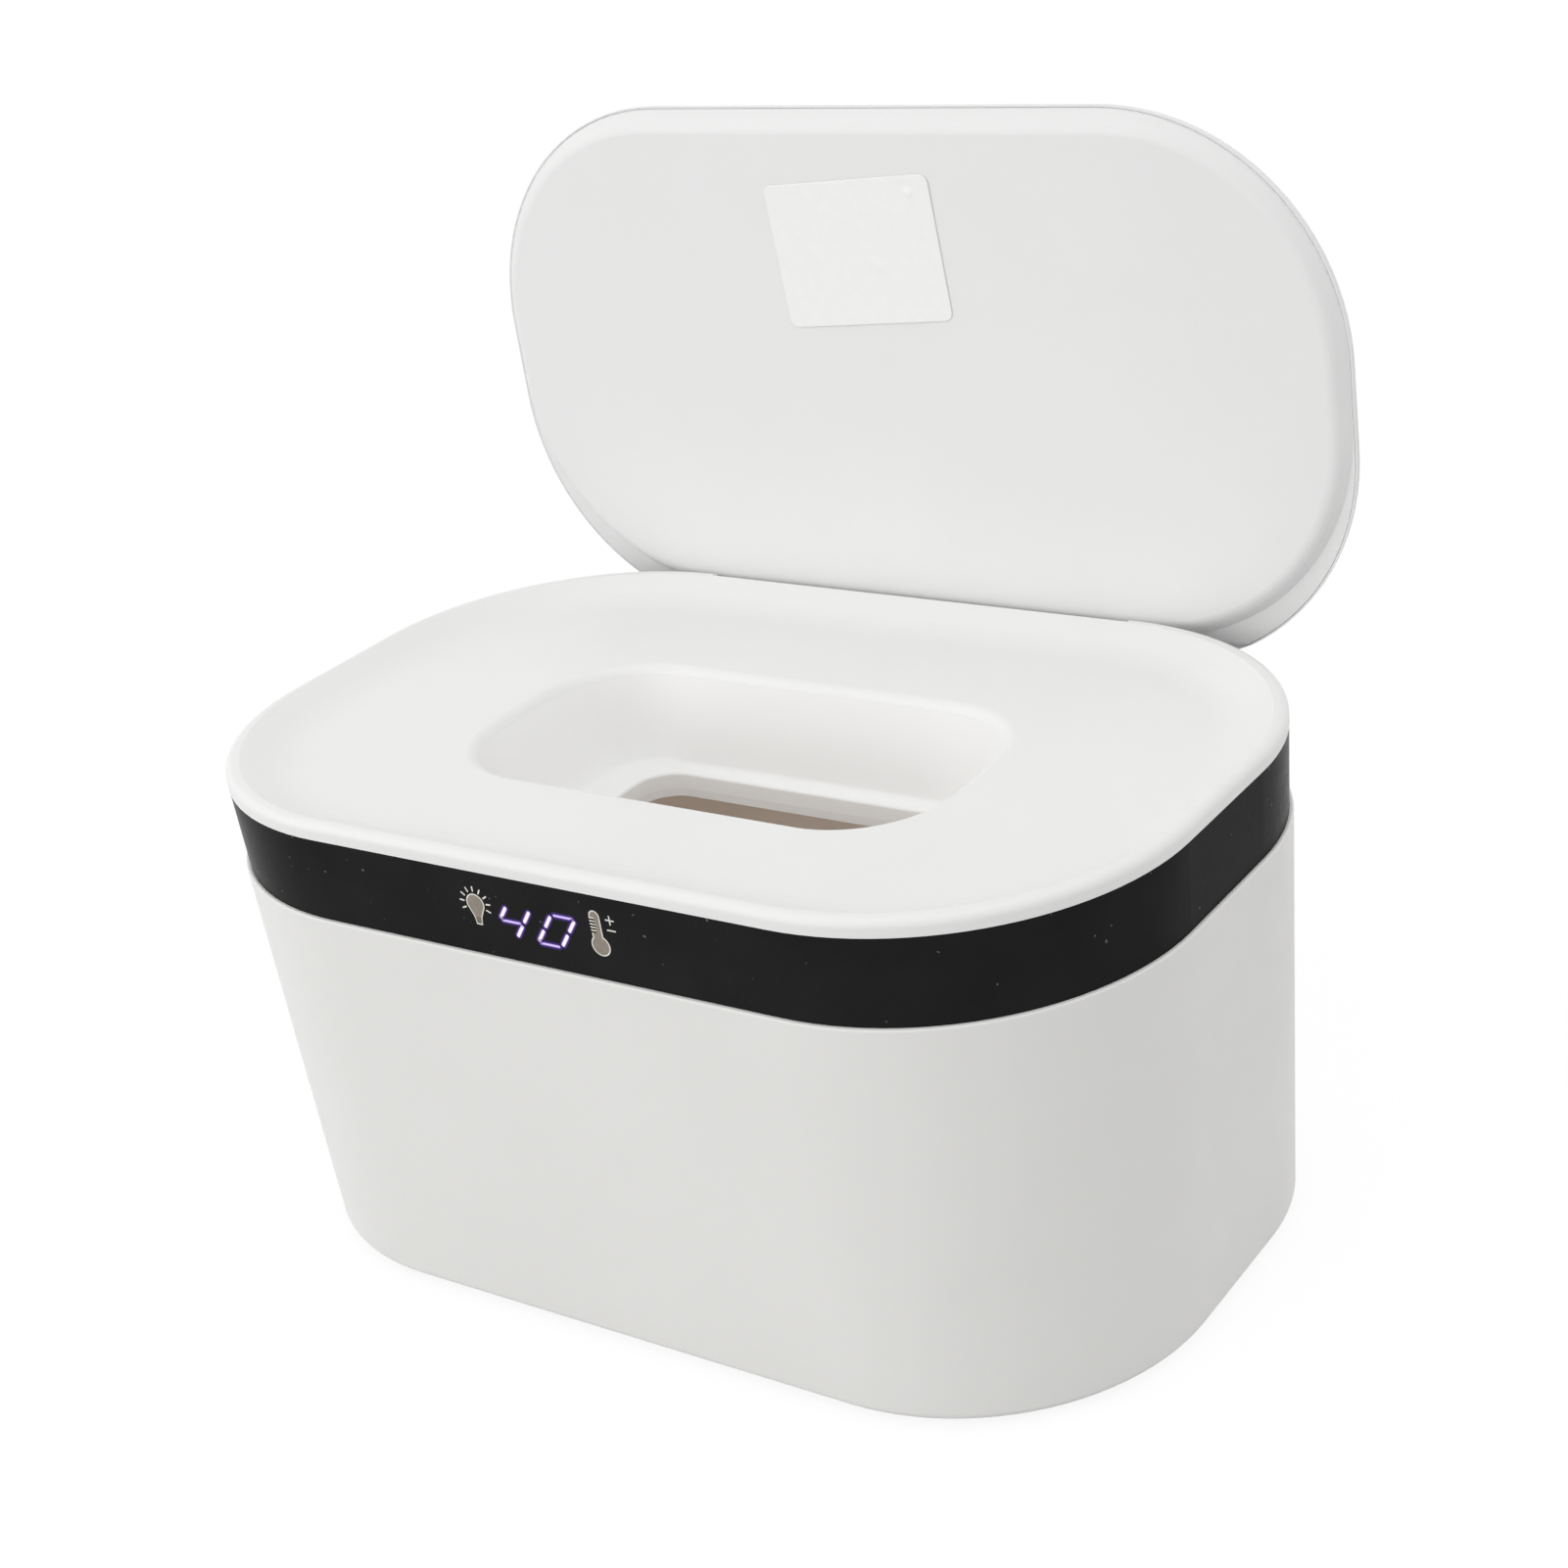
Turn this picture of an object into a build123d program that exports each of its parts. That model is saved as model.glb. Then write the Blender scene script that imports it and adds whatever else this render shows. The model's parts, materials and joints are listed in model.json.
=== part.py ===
from build123d import *
import os
from math import asin, atan2, cos, degrees, radians, sin, tan

os.makedirs("parts", exist_ok=True)

# Baby wipe warmer. Millimetres, +Z up, front towards -Y.
# The origin is on the surface the feet stand on, under the middle of the body.
# The lid is built standing open against its stop, which is its rest position.

# ---------------------------------------------------------------- driving dimensions

# Body shell: a rounded box whose wall leans outward as it rises. The insets of the dish,
# the tank, the hinge, the lid and the feet are taken from the outline of its bottom edge.
base_length = 221.6
base_width = 140.0
end_flat = 33.0
foot_drop = 1.5
body_height = 92.5
wall_draft = 2.65
wall = 2.6
bottom_round = 2.0
ledge_round = 0.5

# Display band round the top of the body, set back from the body wall
band_height = 19.05
band_setback = 0.9
band_wall = 2.0
band_gap = 0.15
collar_wall = 2.0

# Deck: the lift-off top with its dish, wipe funnel and dispensing slot
deck_edge = 3.8
deck_gap = 0.2
deck_proud = 0.1
deck_round = 1.8
deck_skin = 2.2
plug_gap = 0.5
dish_depth = 4.5
dish_end_inset = 6.3
dish_side_inset = 6.8
dish_corner_inset = 4.5
dish_run = 8.5
dish_round = 14.0
funnel_y = -2.0
funnel_length = 119.0
funnel_width = 62.0
funnel_corner = 23.0
funnel_drop = 22.5
funnel_round = 2.5
floor_length = 100.0
floor_width = 50.4
floor_corner = 12.0
floor_round = 2.0
slot_length = 82.0
slot_width = 44.8
slot_corner = 9.0
slot_height = 4.0
slot_round = 0.8

# Slot frame clipped round the lower end of the slot
frame_height = 2.0
frame_rim = 5.0
frame_gap = 0.15
frame_lip = 1.5

# Tank that holds the wipes
tank_end_inset = 12.8
tank_corner_inset = 12.5
tank_pocket_gap = 0.87
tank_wall = 1.8
tank_floor_lift = 19.5
tank_draft = 1.0
tank_floor_round = 4.0
tank_rim = 1.6
rim_gap = 0.3
rim_top_gap = 0.45
shelf_width = 2.5
shelf_height = 2.0

# Lid hinge: the pin's axis runs along X behind the deck
hinge_inset = 3.93
hinge_drop = 12.66
open_angle = 88.3
pin_radius = 1.5
pin_overhang = 1.3
pin_edge = 0.3
pin_running = 0.03
ear_radius = 3.2
ear_thick = 3.0
ear_clear = 0.4
neck_side_gap = 1.0
neck_gap = 0.7
neck_root_gap = 0.27
stop_clear = 0.3
rib_top = 38.0
rib_thick = 4.0
rib_spacing = 36.0
rim_relief_rise = 1.34
neck_running = 0.5
corner_running = 0.8

# Lid: a thin cover with an inner panel whose plateau nests in the deck's dish
lid_end_reach = 0.2
lid_front_inset = 10.0
lid_back = 0.07
lid_corner_reach = 0.2
lid_gap = 0.3
lid_height = 4.5
lid_round = 4.1
cover_wall = 1.6
cover_rim = 2.4
cover_lip = 0.4
panel_gap = 0.1
panel_edge = 0.2
panel_thick = 1.3
panel_wall = 1.3
plateau_end_run = 2.9
plateau_side_run = 3.9
plateau_corner_run = 6.0
plateau_back = 6.5
plateau_depth = 3.0
plateau_round = 3.0

# Hinge pocket in the back of the body
pocket_end_gap = 1.0
pocket_wall = 1.8
pocket_clear = 0.7
pocket_front_clear = 1.4
pocket_back_clear = 0.35
pocket_top_clear = 0.45

# Hinge bracket under the deck
bracket_thick = 2.0
bracket_screw_x = 36.0
bracket_screw_radius = 1.2
bracket_head_radius = 2.4
bracket_head_height = 1.1
bracket_screw_length = 4.8

# Bottom plate, its screws and its feet
plate_thick = 3.0
plate_gap = 0.25
boss_radius = 4.0
boss_tank_gap = 1.7
boss_inset = 4.6
boss_web = 2.0
screw_radius = 1.4
screw_head_radius = 2.8
screw_head_height = 1.6
screw_length = 11.0
screw_running = 0.25
foot_radius = 7.0
foot_end_inset = 36.8
foot_side_inset = 30.0
vent_length = 26.0
vent_width = 2.6
vent_pitch = 7.0
vent_count = 6
foot_seat = 1.0
foot_edge = 0.5
screw_recess_width = 2.6
screw_recess_bar = 0.65
screw_recess_depth = 0.9

# Heating and sensing round the tank
film_lift = 6.0
film_pocket_gap = 6.23
film_thick = 0.5
film_gap = 0.1
foam_thick = 3.0
foam_margin = 2.0
heater_end_gap = 23.0
heater_side_gap = 15.0
heater_corner = 18.0
heater_thick = 1.6
sensor_x = 26.0
sensor_radius = 3.2
sensor_height = 4.0
cutout_x = -26.0
cutout_radius = 6.5
cutout_height = 5.0

# Control board behind the display
board_half = 44.0
board_height = 45.6
board_top_gap = 0.5
board_back_gap = 0.6
board_thick = 1.6
board_screw_edge = 6.0
board_screw_pitch = 18.0
post_radius = 3.0
board_screw_radius = 1.1
board_screw_head = 2.2
board_head_height = 1.3
board_screw_length = 5.0
display_lift = 9.0
display_length = 21.0
display_height = 9.0
display_bezel = 0.8
window_side_gap = 3.0
window_low_gap = 0.3
display_clear = 0.35
digit_length = 7.0
digit_pitch = 12.0
digit_recess = 0.4
touch_x = 17.0
touch_radius = 4.0
touch_wall = 0.8
led_radius = 1.5
led_height = 2.0
chip_length = 12.0
chip_height = 1.6

# Power inlet low in the back
inlet_lift = 11.5
inlet_barrel = 4.9
inlet_flange = 6.6
inlet_flange_thick = 1.5
inlet_depth = 12.0
inlet_bore = 2.8
inlet_bore_depth = 9.5
inlet_pin = 1.0
inlet_running = 0.2
inlet_seat = 0.4
nut_width = 13.0
nut_thick = 2.6

# Tolerance for picking edges by their place
tiny = 0.01

# ---------------------------------------------------------------- derived sizes and places

# Heights, from the feet up
plate_top_z = foot_drop + plate_thick
ledge_z = foot_drop + body_height
band_top_z = ledge_z + band_height
deck_top_z = band_top_z + deck_edge
deck_bottom_z = band_top_z + deck_gap
dish_z = deck_top_z - dish_depth
deck_under_z = dish_z - deck_skin
funnel_floor_z = dish_z - funnel_drop
slot_bottom_z = funnel_floor_z - slot_height
tank_top_z = deck_under_z - rim_top_gap
shelf_z = tank_top_z - tank_rim
tank_floor_z = plate_top_z + tank_floor_lift
heater_top_z = tank_floor_z - tank_wall
heater_low_z = heater_top_z - heater_thick
boss_top_z = heater_top_z - boss_tank_gap
inlet_z = plate_top_z + inlet_lift
display_z = ledge_z + display_lift

# Insets of the body's upper wall, inside the band
collar_inset = band_setback + band_wall + band_gap
collar_inner = collar_inset + collar_wall

# Corners of the body, and the flat stretch between them
base_corner = (base_width - end_flat) / 2
corner_x = base_length / 2 - base_corner
corner_y = base_width / 2 - base_corner

# Hinge, from the axis of its pin outward
hinge_y = base_width / 2 - hinge_inset
hinge_z = deck_top_z - hinge_drop
rim_relief = hinge_drop + rim_relief_rise
neck_inner = rim_relief + neck_running
corner_relief = rim_relief + corner_running
lid_plane = hinge_drop + lid_gap
lid_top = lid_plane + lid_height
neck_outer = lid_top
neck_half = corner_x - neck_side_gap
ear_inner = neck_half + ear_clear
pin_half = ear_inner + ear_thick + pin_overhang
pocket_half = pin_half + pocket_end_gap
pocket_front_y = hinge_y - ear_radius - pocket_front_clear
pocket_back_y = hinge_y + ear_radius + pocket_back_clear
pocket_top_z = deck_under_z - pocket_top_clear
pocket_floor_z = hinge_z - neck_outer - pocket_clear
stop_reach = ear_radius + pocket_front_clear - stop_clear
neck_end = open_angle - 90 - degrees(asin(stop_reach / neck_outer))

# Dish in the deck, and the lid, whose panel has a plateau that nests in the dish
dish_length = base_length - 2 * dish_end_inset
dish_width = base_width - 2 * dish_side_inset
dish_corner = base_corner - dish_corner_inset
lid_length = base_length + 2 * lid_end_reach
lid_width = hinge_y - lid_back + base_width / 2 - lid_front_inset
lid_corner = base_corner + lid_corner_reach
plateau_inset = cover_lip + panel_gap + panel_edge
plateau_front = lid_back + lid_width - plateau_inset
neck_root = plateau_back - neck_root_gap

# Tank between the hinge pocket and the control board, with its heaters
tank_length = base_length - 2 * tank_end_inset
tank_width = 2 * (pocket_front_y - pocket_wall - tank_pocket_gap - tank_wall)
tank_corner = base_corner - tank_corner_inset
film_inner = tank_wall + film_gap
film_outer = film_inner + film_thick
film_low = tank_floor_z + film_lift
film_high = pocket_floor_z - pocket_wall - film_pocket_gap - foam_margin
foam_inner = film_outer + film_gap
foam_outer = foam_inner + foam_thick
heater_length = tank_length - 2 * heater_end_gap
heater_width = tank_width - 2 * heater_side_gap

# Control board, whose screw heads clear the foam
board_high = shelf_z - board_top_gap
board_low = board_high - board_height
board_back_y = tank_width / 2 + foam_outer + board_back_gap + board_head_height
board_front_y = board_back_y + board_thick
board_screw_x = board_half - board_screw_edge
board_screw_low = board_low + board_screw_edge


# ---------------------------------------------------------------- shared outlines

def spread(height):
    """Outward lean of the body wall at a height, from its bottom edge."""
    return (height - foot_drop) * tan(radians(wall_draft))


def body_plan(height, inset):
    """Plan of the leaning body at a height, moved inward by an inset."""
    grow = spread(height) - inset
    RectangleRounded(base_length + 2 * grow, base_width + 2 * grow, base_corner + grow)


def leaning_block(low, high, inset, mode=Mode.ADD):
    """Block between two heights whose sides lean with the body wall."""
    with BuildSketch(Plane.XY.offset(low)) as plan:
        body_plan(low, inset)
    extrude(plan.sketch, amount=high - low, taper=-wall_draft, mode=mode)


def upright_block(low, high, inset, mode=Mode.ADD):
    """Block between two heights with upright sides, cut to the body plan at its lower end."""
    with BuildSketch(Plane.XY.offset(low)) as plan:
        body_plan(low, inset)
    extrude(plan.sketch, amount=high - low, mode=mode)


def slab(x_half, y_low, y_high, z_low, z_high, mode=Mode.ADD):
    """Rectangular block, symmetric in X."""
    with BuildSketch(Plane.XY.offset(z_low)) as plan:
        with Locations((0, (y_low + y_high) / 2)):
            Rectangle(2 * x_half, y_high - y_low)
    extrude(plan.sketch, amount=z_high - z_low, mode=mode)


def tank_plan(height, outset):
    """Plan of the tank's inside face at a height, moved outward by an outset."""
    grow = outset - (tank_top_z - height) * tan(radians(tank_draft))
    RectangleRounded(tank_length + 2 * grow, tank_width + 2 * grow, tank_corner + grow)


def tank_block(low, high, outset, mode=Mode.ADD):
    """Block between two heights whose sides lean with the tank wall."""
    with BuildSketch(Plane.XY.offset(low)) as plan:
        tank_plan(low, outset)
    extrude(plan.sketch, amount=high - low, taper=-tank_draft, mode=mode)


def funnel_loft(outset, low, high, mode=Mode.ADD):
    """Funnel body between its floor and the dish, moved outward by an outset."""
    with BuildSketch(Plane.XY.offset(low)) as floor:
        with Locations((0, funnel_y)):
            RectangleRounded(floor_length + 2 * outset, floor_width + 2 * outset, floor_corner + outset)
    with BuildSketch(Plane.XY.offset(high)) as mouth:
        with Locations((0, funnel_y)):
            RectangleRounded(funnel_length + 2 * outset, funnel_width + 2 * outset, funnel_corner + outset)
    loft([floor.sketch.face(), mouth.sketch.face()], ruled=True, mode=mode)


def slot_block(outset, low, high, mode=Mode.ADD):
    """Upright block on the slot's plan, moved outward by an outset."""
    with BuildSketch(Plane.XY.offset(low)) as plan:
        with Locations((0, funnel_y)):
            RectangleRounded(slot_length + 2 * outset, slot_width + 2 * outset, slot_corner + outset)
    extrude(plan.sketch, amount=high - low, mode=mode)


# ---------------------------------------------------------------- lid directions

# In the lid's own directions X runs along the pin, Y points from the lid's front to the pin
# and Z out of the lid's top; the pin's axis is at the origin.
lid_up = Vector(0, sin(radians(open_angle)), cos(radians(open_angle)))
lid_frame = Plane(origin=(0, hinge_y, hinge_z), x_dir=(1, 0, 0), z_dir=lid_up)


def lid_section(x):
    """Plane across the lid at x, with its own axes along the lid's Y and Z."""
    return Plane(origin=(x, hinge_y, hinge_z), x_dir=lid_frame.y_dir, z_dir=(1, 0, 0))


def pin_cylinder(radius, x_low, x_high, mode=Mode.ADD):
    """Cylinder about the hinge axis between two X positions."""
    with BuildSketch(Plane.YZ.offset(x_low)) as disc:
        with Locations((hinge_y, hinge_z)):
            Circle(radius)
    extrude(disc.sketch, amount=x_high - x_low, mode=mode)


def ring_sector(inner, outer, first, last):
    """Face between two radii about the hinge axis and two angles, in the lid's section plane."""
    with BuildLine() as edge:
        CenterArc((0, 0), outer, last, first - last)
        CenterArc((0, 0), inner, last, first - last)
        for angle in (first, last):
            ray = Vector(cos(radians(angle)), sin(radians(angle)))
            Line(ray * inner, ray * outer)
    make_face(edge.line.edges())


# ---------------------------------------------------------------- body

boss_reach = (base_corner - wall - boss_inset) * sin(radians(45))
corners = [(sx, sy) for sx in (-1, 1) for sy in (-1, 1)]
boss_spots = [(sx * (corner_x + boss_reach), sy * (corner_y + boss_reach)) for sx, sy in corners]
foot_x = base_length / 2 - foot_end_inset
foot_y = base_width / 2 - foot_side_inset
foot_spots = [(sx * foot_x, sy * foot_y) for sx, sy in corners]
board_spots = [
    (sx * board_screw_x, board_screw_low + rise) for sx in (-1, 1) for rise in (0, board_screw_pitch)
]
inlet_seat_y = base_width / 2 + spread(inlet_z - inlet_flange) - inlet_seat

# Room inside the body: the wall steps in behind the band, and a shelf carries the tank's rim.
# The hinge pocket's block is left standing in it.
with BuildPart() as room:
    leaning_block(foot_drop, ledge_z - wall, wall)
    leaning_block(ledge_z - wall, shelf_z - shelf_height, collar_inner)
    leaning_block(shelf_z - shelf_height, shelf_z, collar_inner + shelf_width)
    leaning_block(shelf_z, band_top_z, collar_inner)
    slab(
        pocket_half + pocket_wall,
        pocket_front_y - pocket_wall,
        base_width,
        pocket_floor_z - pocket_wall,
        pocket_top_z,
        mode=Mode.SUBTRACT,
    )

with BuildPart() as base_shell:
    leaning_block(foot_drop, ledge_z, 0)
    fillet(base_shell.edges().group_by(Axis.Z)[0], bottom_round)
    fillet(base_shell.edges().group_by(Axis.Z)[-1], ledge_round)
    leaning_block(ledge_z, band_top_z, collar_inset)
    add(room.part, mode=Mode.SUBTRACT)
    # Hinge pocket, open at the top, and its window through the back wall
    slab(pocket_half, pocket_front_y, pocket_back_y, pocket_floor_z, band_top_z, mode=Mode.SUBTRACT)
    slab(corner_x, pocket_front_y, base_width, pocket_floor_z, band_top_z, mode=Mode.SUBTRACT)
    # Opening in the collar for the display and its touch pads
    slab(
        touch_x + touch_radius + window_side_gap,
        -base_width,
        -board_front_y,
        display_z - display_height / 2 - window_low_gap,
        shelf_z,
        mode=Mode.SUBTRACT,
    )
    # Screw bosses in the corners, each with a web out to the wall
    with BuildSketch(Plane.XY.offset(plate_top_z)):
        with Locations(*boss_spots):
            Circle(boss_radius)
        for (x, y), (sx, sy) in zip(boss_spots, corners):
            with Locations(Location((x, y, 0), (0, 0, degrees(atan2(sy, sx))))):
                Rectangle(
                    boss_inset + spread(boss_top_z) + wall / 2,
                    boss_web,
                    align=(Align.MIN, Align.CENTER),
                )
    extrude(amount=boss_top_z - plate_top_z)
    with BuildSketch(Plane.XY.offset(plate_top_z)):
        with Locations(*boss_spots):
            Circle(screw_radius)
    extrude(amount=boss_top_z - wall - plate_top_z, mode=Mode.SUBTRACT)
    # Posts for the control board on the front wall
    with BuildSketch(Plane.XZ.offset(board_front_y)):
        with Locations(*board_spots):
            Circle(post_radius)
    extrude(amount=base_width / 2 + spread(board_screw_low) - wall / 2 - board_front_y)
    with BuildSketch(Plane.XZ.offset(board_front_y)):
        with Locations(*board_spots):
            Circle(board_screw_radius)
    extrude(amount=board_screw_length - board_thick, mode=Mode.SUBTRACT)
    # Hole and flat seat for the power inlet
    with BuildSketch(Plane.XZ.offset(-inlet_seat_y)):
        with Locations((0, inlet_z)):
            Circle(inlet_barrel + inlet_running)
    extrude(amount=2 * wall, mode=Mode.SUBTRACT)
    with BuildSketch(Plane.XZ.offset(-inlet_seat_y)):
        with Locations((0, inlet_z)):
            Circle(inlet_flange + inlet_running)
    extrude(amount=-2 * wall, mode=Mode.SUBTRACT)
base_shell.part.label = "base_shell"

with BuildPart() as display_band:
    leaning_block(ledge_z, band_top_z, band_setback)
    leaning_block(ledge_z, band_top_z, band_setback + band_wall, mode=Mode.SUBTRACT)
    slab(corner_x, 0, base_width, ledge_z, band_top_z, mode=Mode.SUBTRACT)
display_band.part.label = "display_band"

with BuildPart() as base_plate:
    upright_block(foot_drop, plate_top_z, wall + plate_gap)
    # Seats for the feet
    with BuildSketch(Plane.XY.offset(foot_drop)):
        with Locations(*foot_spots):
            Circle(foot_radius)
    extrude(amount=foot_seat, mode=Mode.SUBTRACT)
    # Counterbored screw holes
    with BuildSketch(Plane.XY.offset(foot_drop)):
        with Locations(*boss_spots):
            Circle(screw_radius + screw_running)
    extrude(amount=plate_thick, mode=Mode.SUBTRACT)
    with BuildSketch(Plane.XY.offset(foot_drop)):
        with Locations(*boss_spots):
            Circle(screw_head_radius + screw_running)
    extrude(amount=screw_head_height, mode=Mode.SUBTRACT)
    # Vent slots
    with BuildSketch(Plane.XY.offset(foot_drop)):
        with GridLocations(vent_pitch, 0, vent_count, 1):
            SlotOverall(vent_length, vent_width, rotation=90)
    extrude(amount=plate_thick, mode=Mode.SUBTRACT)
base_plate.part.label = "base_plate"

with BuildPart() as rubber_feet:
    with BuildSketch():
        with Locations(*foot_spots):
            Circle(foot_radius)
    extrude(amount=foot_drop + foot_seat)
    chamfer(rubber_feet.edges().group_by(Axis.Z)[0], foot_edge)
rubber_feet.part.label = "rubber_feet"

with BuildPart() as base_screws:
    with BuildSketch(Plane.XY.offset(foot_drop)):
        with Locations(*boss_spots):
            Circle(screw_head_radius)
    extrude(amount=screw_head_height)
    with BuildSketch(Plane.XY.offset(foot_drop)):
        with Locations(*boss_spots):
            Circle(screw_radius)
    extrude(amount=screw_length)
    # Cross recess in each head
    with BuildSketch(Plane.XY.offset(foot_drop)):
        with Locations(*boss_spots):
            Rectangle(screw_recess_width, screw_recess_bar)
            Rectangle(screw_recess_bar, screw_recess_width)
    extrude(amount=screw_recess_depth, mode=Mode.SUBTRACT)
base_screws.part.label = "base_screws"

with BuildPart() as inner_tank:
    tank_block(tank_floor_z - tank_wall, tank_top_z, tank_wall)
    fillet(inner_tank.edges().group_by(Axis.Z)[0], tank_floor_round + tank_wall)
    upright_block(shelf_z, tank_top_z, collar_inner + rim_gap)
    tank_block(tank_floor_z, tank_top_z, 0, mode=Mode.SUBTRACT)
    floor_edges = inner_tank.edges().filter_by_position(Axis.Z, tank_floor_z - tiny, tank_floor_z + tiny)
    fillet(floor_edges, tank_floor_round)
    slab(
        pocket_half + pocket_wall + rim_gap,
        pocket_front_y - pocket_wall - rim_gap,
        base_width,
        shelf_z,
        tank_top_z,
        mode=Mode.SUBTRACT,
    )
inner_tank.part.label = "inner_tank"

# ---------------------------------------------------------------- heating and sensing

with BuildPart() as wall_heater:
    tank_block(film_low, film_high, film_outer)
    tank_block(film_low, film_high, film_inner, mode=Mode.SUBTRACT)
wall_heater.part.label = "wall_heater"

with BuildPart() as heater_foam:
    tank_block(film_low - foam_margin, film_high + foam_margin, foam_outer)
    tank_block(film_low - foam_margin, film_high + foam_margin, foam_inner, mode=Mode.SUBTRACT)
heater_foam.part.label = "heater_foam"

with BuildPart() as floor_heater:
    with BuildSketch(Plane.XY.offset(heater_low_z)):
        RectangleRounded(heater_length, heater_width, heater_corner)
    extrude(amount=heater_thick)
floor_heater.part.label = "floor_heater"

with BuildPart() as temperature_sensor:
    with BuildSketch(Plane.XY.offset(heater_low_z)):
        with Locations((sensor_x, 0)):
            Circle(sensor_radius)
    extrude(amount=-sensor_height)
temperature_sensor.part.label = "temperature_sensor"

with BuildPart() as thermal_cutout:
    with BuildSketch(Plane.XY.offset(heater_low_z)):
        with Locations((cutout_x, 0)):
            Circle(cutout_radius)
    extrude(amount=-cutout_height)
thermal_cutout.part.label = "thermal_cutout"

# ---------------------------------------------------------------- control board and display

display_low_z = display_z - display_height / 2
display_front_y = base_width / 2 + spread(display_low_z) - band_setback - band_wall - display_clear
display_depth = display_front_y - board_front_y

with BuildPart() as control_board:
    with BuildSketch(Plane.XZ.offset(board_front_y)):
        with Locations((0, (board_low + board_high) / 2)):
            Rectangle(2 * board_half, board_high - board_low)
        with Locations(*board_spots):
            Circle(board_screw_radius + screw_running, mode=Mode.SUBTRACT)
    extrude(amount=-board_thick)
    with BuildSketch(Plane.XZ.offset(board_back_y)):
        with Locations((0, (board_low + board_high) / 2)):
            with GridLocations(2 * chip_length, 0, 2, 1):
                Rectangle(chip_length, chip_length)
    extrude(amount=-chip_height)
control_board.part.label = "control_board"

with BuildPart() as board_screws:
    with BuildSketch(Plane.XZ.offset(board_back_y)):
        with Locations(*board_spots):
            Circle(board_screw_head)
    extrude(amount=-board_head_height)
    with BuildSketch(Plane.XZ.offset(board_back_y)):
        with Locations(*board_spots):
            Circle(board_screw_radius)
    extrude(amount=board_screw_length)
board_screws.part.label = "board_screws"

with BuildPart() as display_module:
    with BuildSketch(Plane.XZ.offset(board_front_y)):
        with Locations((0, display_z)):
            Rectangle(display_length, display_height)
    extrude(amount=display_depth)
    with BuildSketch(Plane.XZ.offset(display_front_y)):
        with Locations((0, display_z)):
            with GridLocations(digit_pitch, 0, 2, 1):
                Rectangle(digit_length, display_height - 2 * display_bezel)
    extrude(amount=-digit_recess, mode=Mode.SUBTRACT)
display_module.part.label = "display_module"

touch_spots = [(sx * touch_x, display_z) for sx in (-1, 1)]

with BuildPart() as touch_pads:
    with BuildSketch(Plane.XZ.offset(board_front_y)):
        with Locations(*touch_spots):
            Circle(touch_radius)
            Circle(touch_radius - touch_wall, mode=Mode.SUBTRACT)
    extrude(amount=display_depth)
touch_pads.part.label = "touch_pads"

with BuildPart() as icon_leds:
    with BuildSketch(Plane.XZ.offset(board_front_y)):
        with Locations(*touch_spots):
            Circle(led_radius)
    extrude(amount=led_height)
icon_leds.part.label = "icon_leds"

# ---------------------------------------------------------------- power inlet

with BuildPart() as power_inlet:
    with BuildSketch(Plane.XZ.offset(-inlet_seat_y)):
        with Locations((0, inlet_z)):
            Circle(inlet_flange)
    extrude(amount=-inlet_flange_thick)
    with BuildSketch(Plane.XZ.offset(-inlet_seat_y)):
        with Locations((0, inlet_z)):
            Circle(inlet_barrel)
    extrude(amount=inlet_depth)
    with BuildSketch(Plane.XZ.offset(-inlet_seat_y - inlet_flange_thick)):
        with Locations((0, inlet_z)):
            Circle(inlet_bore)
            Circle(inlet_pin, mode=Mode.SUBTRACT)
    extrude(amount=inlet_bore_depth, mode=Mode.SUBTRACT)
    with BuildSketch(Plane.XZ.offset(-inlet_seat_y - inlet_flange_thick)):
        with Locations((0, inlet_z)):
            Circle(inlet_bore)
    extrude(amount=inlet_pin, mode=Mode.SUBTRACT)
power_inlet.part.label = "power_inlet"

with BuildPart() as inlet_nut:
    with BuildSketch(Plane.XZ.offset(-inlet_seat_y + wall)):
        with Locations((0, inlet_z)):
            RegularPolygon(nut_width / 2, 6, major_radius=False)
            Circle(inlet_barrel + inlet_running / 2, mode=Mode.SUBTRACT)
    extrude(amount=nut_thick)
inlet_nut.part.label = "inlet_nut"

# ---------------------------------------------------------------- deck

def edges_round_funnel(piece, height, length, width, outside):
    """Edges at a height outside, or inside, a rectangle about the funnel's middle."""
    level = piece.edges().filter_by_position(Axis.Z, height - tiny, height + tiny)
    return [
        edge
        for edge in level
        if outside
        == (
            abs(edge.center().X) > length / 2 + tiny
            or abs(edge.center().Y - funnel_y) > width / 2 + tiny
        )
    ]


with BuildPart() as rim_cut:
    slab(neck_half + neck_gap, hinge_y, base_width, deck_bottom_z, deck_top_z + deck_edge)
    pin_cylinder(rim_relief, -neck_half - neck_gap, neck_half + neck_gap, mode=Mode.SUBTRACT)

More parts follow.
